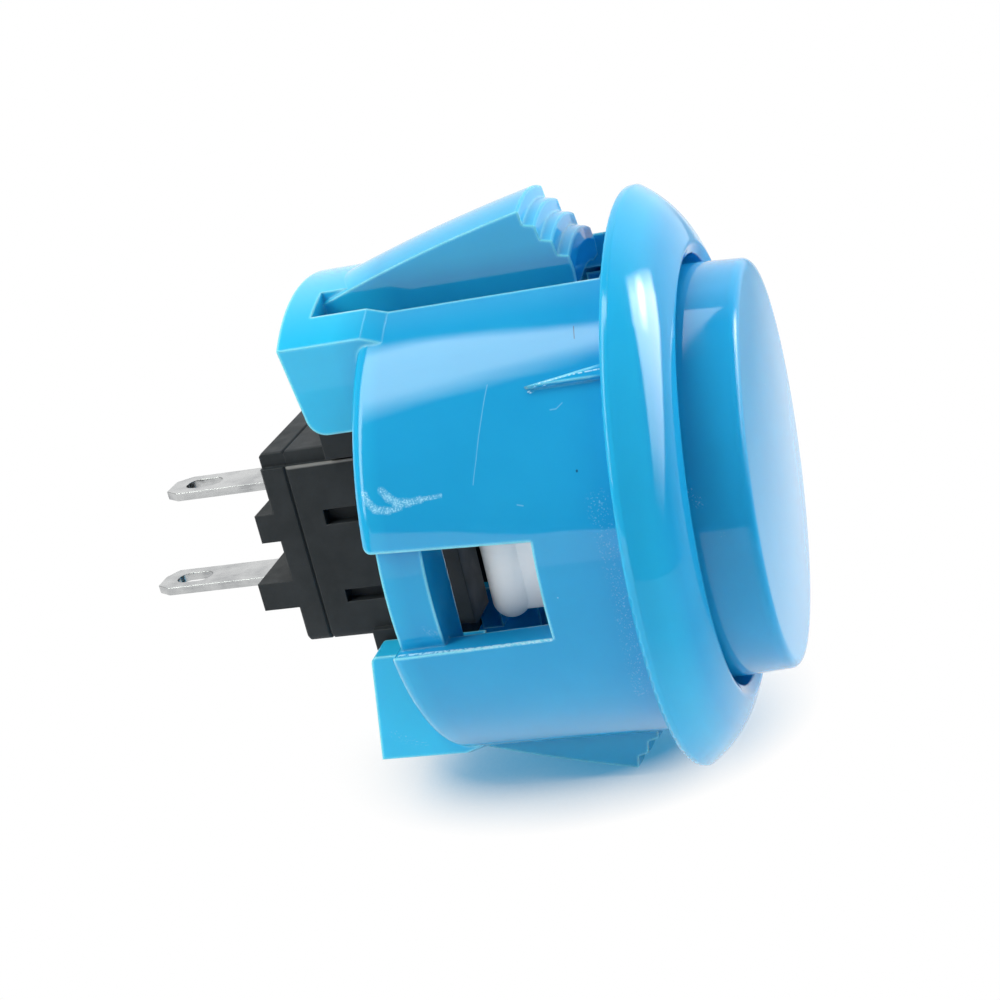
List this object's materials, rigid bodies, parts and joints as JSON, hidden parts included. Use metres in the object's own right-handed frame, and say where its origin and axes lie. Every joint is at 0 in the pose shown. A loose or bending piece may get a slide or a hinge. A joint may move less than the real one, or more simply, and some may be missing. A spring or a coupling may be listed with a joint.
{
  "type": "arcade push button",
  "caption": "Snap-in round push button for a panel hole: a sprung cap in a domed rim, stepped side latches, and a switch behind it with slotted blade terminals.",
  "frame": {"origin": "on the button's axis, in the plane of the seat under the rim, where the panel's front face lies", "axes": "+Z out of the panel towards the hand, X through the snap latches, Y through the side windows"},
  "size_m": [0.0356, 0.0336, 0.0402],
  "materials": {
    "blue_plastic": "glossy sky-blue moulding with fine handling scratches",
    "black_plastic": "fine matte black moulding",
    "white_nylon": "milky, slightly translucent",
    "spring_steel": "drawn wire",
    "copper_strip": "stamped copper alloy",
    "contact_silver": "silver contact buttons",
    "plated_blade": "bright tin plating on stamped strip"
  },
  "bodies": {
    "frame_body": {"housing": "blue_plastic", "switch_cover": "black_plastic", "switch_base": "black_plastic", "terminal_upper": "plated_blade", "terminal_lower": "plated_blade", "fixed_contact_upper": "contact_silver", "fixed_contact_lower": "contact_silver", "return_spring": "spring_steel"},
    "plunger_body": {"plunger": "blue_plastic"},
    "actuator_body": {"actuator": "white_nylon", "contact_spring": "spring_steel"},
    "bridge_body": {"contact_bridge": "copper_strip", "moving_contact_upper": "contact_silver", "moving_contact_lower": "contact_silver"}
  },
  "joints": [
    {"name": "plunger_slide", "type": "slide", "parent": "frame_body", "child": "plunger_body", "axis": [0, 0, 1], "range_m": [-0.002, 0], "stiffness_N_per_m": 150, "springref_m": 0.004},
    {"name": "actuator_slide", "type": "slide", "parent": "frame_body", "child": "actuator_body", "axis": [0, 0, 1], "range_m": [-0.002, 0], "deforming": ["return_spring"]},
    {"name": "bridge_slide", "type": "slide", "parent": "frame_body", "child": "bridge_body", "axis": [0, 0, 1], "range_m": [-0.0012, 0], "deforming": ["contact_spring"]}
  ],
  "couplings": [
    {"joint": "actuator_slide", "follows": "plunger_slide", "ratio": 1},
    {"joint": "bridge_slide", "follows": "plunger_slide", "ratio": 0.6}
  ]
}
